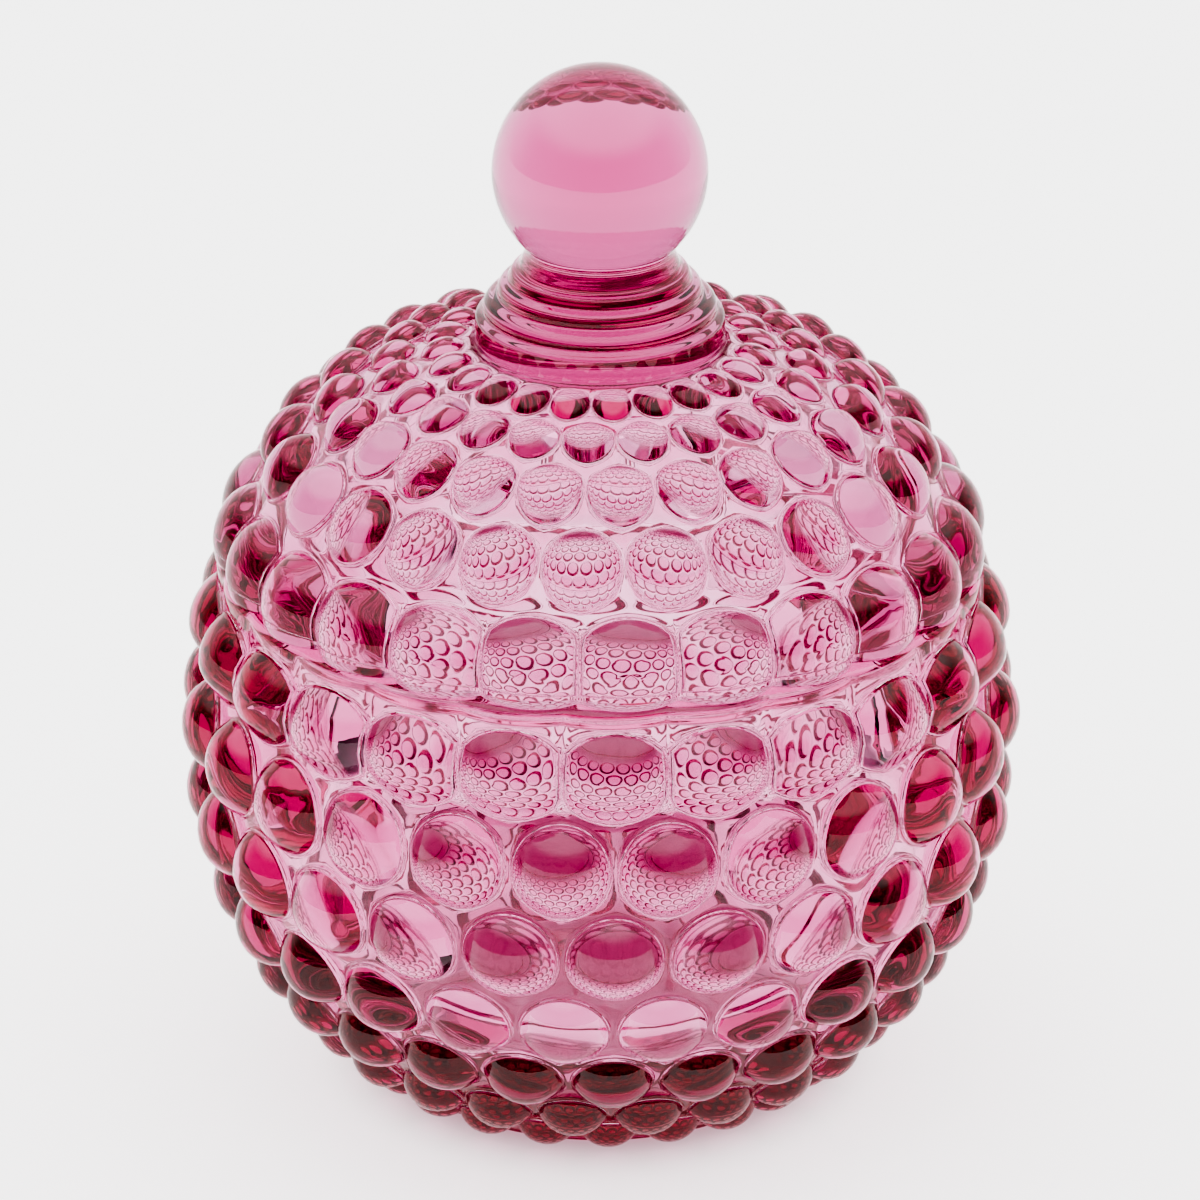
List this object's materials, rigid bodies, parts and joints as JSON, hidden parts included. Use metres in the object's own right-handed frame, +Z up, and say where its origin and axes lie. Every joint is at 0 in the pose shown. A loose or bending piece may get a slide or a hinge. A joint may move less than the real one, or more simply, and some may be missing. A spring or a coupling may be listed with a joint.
{
  "type": "candy jar",
  "caption": "Round pink pressed-glass jar covered in rows of round hobs, with a loose domed lid that has a stepped collar and a solid ball knob.",
  "frame": {"origin": "centre of the foot, on the surface the jar stands on", "axes": "+Z up along the jar's axis, towards the knob; X and Y are free, because the rows of hobs repeat every 15 degrees"},
  "size_m": [0.1066, 0.1066, 0.1355],
  "materials": {
    "pink_glass": "clear pink pressed glass with a fire-polished surface"
  },
  "bodies": {
    "bowl": {"bowl": "pink_glass"},
    "lid": {"lid": "pink_glass"}
  },
  "joints": [
    {"name": "lid_lift", "type": "slide", "parent": "bowl", "child": "lid", "axis": [0, 0, 1], "range_m": [0, 0.08]}
  ]
}
